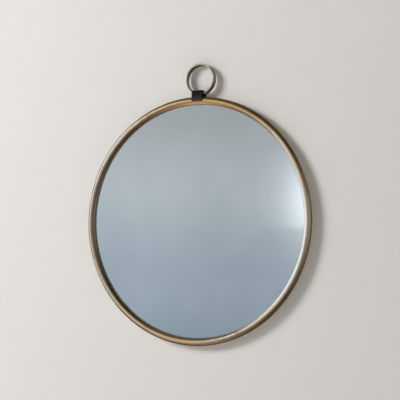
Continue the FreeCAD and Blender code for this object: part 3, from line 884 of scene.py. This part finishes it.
# stage: a pale floor, and a pale wall that shows from its front only; reflections see a dim wall and,
# in place of the floor, a patch of sunlight
stage = {"floorHeight": -0.95, "floorSize": 14.0, "wallGap": 0.6 * mm, "wallSize": 2.4, "wallHeight": 1.7,
         "wall": (0.68, 0.67, 0.655), "floor": (0.80, 0.775, 0.745), "wallGlow": 0.07, "floorGlow": 0.80,
         "mottle": (3.0, 3.0), "mottleShade": 0.985, "rough": 0.9, "gloss": 0.1,
         "openRadius": 0.29, "wallMirrored": (0.095, 0.082, 0.07),
         "sunPatch": (-0.56, -0.45), "sunRadii": (0.22, 0.40), "sunLight": (0.52, 0.41, 0.32)}


def stagePlane(name, corners, material):
    mesh = bpy.data.meshes.new(name)
    mesh.from_pydata(corners, [], [(0, 1, 2, 3)])
    mesh.materials.append(material)
    plane = bpy.data.objects.new(name, mesh)
    scene.collection.objects.link(plane)


def emission(tree, colour, strength=1.0):
    return addNode(tree, "ShaderNodeEmission", {"Color": colour, "Strength": strength}).outputs[0]


def mixShader(tree, factor, a, b):
    return addNode(tree, "ShaderNodeMixShader", {0: factor, 1: a, 2: b}).outputs[0]


def paleShader(name, colour, glow):
    # a matt pale surface, part of whose light is its own for what the camera sees of it
    o = stage
    material, tree, shader, place = newMaterial(name)
    shade = tuple(part * o["mottleShade"] for part in colour)
    tint = mixColour(tree, noise(tree, place, *o["mottle"]), colour, shade)
    feed(tree, shader, {"Base Color": tint, "Roughness": o["rough"], "Specular IOR Level": o["gloss"]})
    path = tree.nodes.new("ShaderNodeLightPath").outputs
    pale = mixShader(tree, times(tree, path["Is Camera Ray"], glow), shader.outputs[0], emission(tree, tint))
    clear = tree.nodes.new("ShaderNodeBsdfTransparent").outputs[0]
    return material, tree, place, path, pale, clear


def makeFloor():
    o = stage
    floor, tree, place, path, pale, clear = paleShader("pale_floor", o["floor"], o["floorGlow"])
    spot = addNode(tree, "ShaderNodeSeparateXYZ", {0: place}).outputs
    glow = glowAt(tree, *zip(spot[:2], o["sunPatch"], o["sunRadii"]))
    sun = emission(tree, (*o["sunLight"], 1), glow)
    clear = addNode(tree, "ShaderNodeAddShader", {0: clear, 1: sun}).outputs[0]
    shown = mixShader(tree, path["Is Glossy Ray"], pale, clear)
    tree.links.new(shown, tree.nodes["Material Output"].inputs[0])
    half, z = o["floorSize"] / 2, o["floorHeight"]
    corners = [(-half, -half, z), (half, -half, z), (half, half, z), (-half, half, z)]
    stagePlane("studio_floor", corners, floor)


def makeWall():
    # it throws no shadow, and behind the mirror only the camera sees it
    o = stage
    wall, tree, place, path, pale, clear = paleShader("pale_wall", o["wall"], o["wallGlow"])
    pale = mixShader(tree, path["Is Glossy Ray"], pale, emission(tree, (*o["wallMirrored"], 1)))
    inputs = {0: place, 1: tuple(hoopMiddle)}
    away = addNode(tree, "ShaderNodeVectorMath", inputs, operation="DISTANCE").outputs["Value"]
    outside = mathNode(tree, "GREATER_THAN", away, o["openRadius"])
    solid = times(tree, outside, minus(tree, 1.0, path["Is Shadow Ray"]))
    solid = mathNode(tree, "MAXIMUM", solid, path["Is Camera Ray"])
    facing = minus(tree, 1.0, tree.nodes.new("ShaderNodeNewGeometry").outputs["Backfacing"])
    shown = mixShader(tree, times(tree, solid, facing), clear, pale)
    tree.links.new(shown, tree.nodes["Material Output"].inputs[0])
    half, y, low, top = o["wallSize"] / 2, cadHigh[1] + o["wallGap"], o["floorHeight"], o["wallHeight"]
    stagePlane("studio_wall", [(-half, y, low), (half, y, low), (half, y, top), (-half, y, top)], wall)


# soft lamps: place and size in metres, watts; each looks at the mirror's middle
lampColour = (1.0, 0.98, 0.96)
lamps = {
    "left_window": {"place": (-3.5, -3.1, 1.6), "size": (1.7, 1.7), "watts": 235.0, "glossy": False},
    "front_fill": {"place": (0.9, -3.2, 1.5), "size": (2.6, 2.0), "watts": 7.0, "glossy": False},
    "rear_fill": {"place": (1.0, 2.8, 0.9), "size": (2.2, 1.8), "watts": 66.0, "glossy": True},
}


def makeLamps():
    for name, o in lamps.items():
        data = bpy.data.lights.new(name, "AREA")
        data.shape = "RECTANGLE"
        data.size, data.size_y = o["size"]
        data.energy = o["watts"]
        data.color = lampColour
        lamp = bpy.data.objects.new(name, data)
        place = Vector(o["place"])
        aim = (Vector(hoopMiddle) - place).to_track_quat("-Z", "Y")
        lamp.matrix_world = Matrix.Translation(place) @ aim.to_matrix().to_4x4()
        lamp.visible_camera = False
        lamp.visible_glossy = o["glossy"]
        scene.collection.objects.link(lamp)


# room light by azimuth and elevation in degrees: a tone for each elevation, dimmer towards the right, a
# broad window on the left, and soft spots of light (azimuth, elevation, width, height, light, lower edge)
room = {
    "byElevation": [(-82.0, (0.36, 0.34, 0.31)), (-46.0, (0.21, 0.175, 0.13)), (-25.0, (0.33, 0.28, 0.22)),
                    (-8.0, (0.54, 0.52, 0.49)), (-3.2, (0.24, 0.29, 0.35)), (0.4, (0.35, 0.40, 0.46)),
                    (3.2, (0.46, 0.495, 0.525)), (6.0, (0.40, 0.411, 0.42)), (11.0, (0.74, 0.725, 0.70)),
                    (24.0, (0.38, 0.355, 0.325)), (41.0, (0.10, 0.085, 0.07))],
    "dimAzimuth": (-24.0, 48.0), "dimTone": (0.27, 0.228, 0.170), "leftRange": (-25.5, -30.0, 1.0, 1.12),
    "behind": (0.55, 0.55, 0.55), "behindRange": (0.05, 0.35), "background": (0.80, 0.785, 0.765),
    "window": (1.06, 1.13, 1.28), "windowLeft": (-128.0, -100.0), "windowRight": (-30.5, -39.0),
    "windowLow": (-27.0, -3.5), "windowHigh": (44.0, 18.0),
    "spots": [(-23.0, 2.8, 0.95, 1.5, (0.70, 0.70, 0.72), 2.07),
              (44.0, 0.0, 26.0, 9.0, (0.20, 0.185, 0.165), -90.0),
              (84.0, 0.0, 26.0, 30.0, (0.25, 0.265, 0.285), -90.0)],
    "edgeShare": 0.52, "edgeBlur": 0.16, "softShare": 0.36,
}


def makeRoom():
    o = room
    world = bpy.data.worlds.new("plain_room")
    scene.world = world
    world.use_nodes = True
    tree = world.node_tree
    direction = tree.nodes.new("ShaderNodeTexCoord").outputs["Generated"]
    x, y, z = addNode(tree, "ShaderNodeSeparateXYZ", {0: direction}).outputs
    azimuth = mathNode(tree, "DEGREES", mathNode(tree, "ARCTAN2", x, times(tree, y, -1.0)))
    elevation = mathNode(tree, "DEGREES", mathNode(tree, "ARCSINE", z))
    steps = o["byElevation"]
    tone = steps[0][1]
    for (low, _), (high, colour) in zip(steps, steps[1:]):
        tone = mixColour(tree, mapRange(tree, elevation, low, high), tone, colour)
    dim = mixColour(tree, mapRange(tree, azimuth, *o["dimAzimuth"]), (1, 1, 1), o["dimTone"])
    tone = mixColour(tree, 1.0, tone, dim, "MULTIPLY")
    tone = scaled(tree, tone, mapRange(tree, azimuth, *o["leftRange"]))
    for spotAzimuth, spotElevation, wide, tall, light, edge in o["spots"]:
        glow = glowAt(tree, (azimuth, spotAzimuth, wide), (elevation, spotElevation, tall))
        above = mapRange(tree, elevation, edge - o["edgeBlur"], edge + o["edgeBlur"], o["edgeShare"], 1.0)
        tone = mixColour(tree, times(tree, glow, above), tone, light, "ADD")
    inside = 1.0
    for value, span in ((azimuth, "windowLeft"), (azimuth, "windowRight"), (elevation, "windowLow"),
                        (elevation, "windowHigh")):
        inside = times(tree, mapRange(tree, value, *o[span]), inside)
    tone = mixColour(tree, inside, tone, o["window"])
    path = tree.nodes.new("ShaderNodeLightPath").outputs
    soft = scaled(tree, tone, o["softShare"])
    tone = mixColour(tree, path["Is Diffuse Ray"], tone, soft)          # matt surfaces get less of the room
    tone = mixColour(tree, mapRange(tree, y, *o["behindRange"]), tone, o["behind"])
    tone = mixColour(tree, path["Is Camera Ray"], tone, o["background"])
    feed(tree, tree.nodes["Background"], {"Color": tone, "Strength": 1.0})


makeCamera()
makeFloor()
makeWall()
makeLamps()
makeRoom()
print("camera, stage and light made")
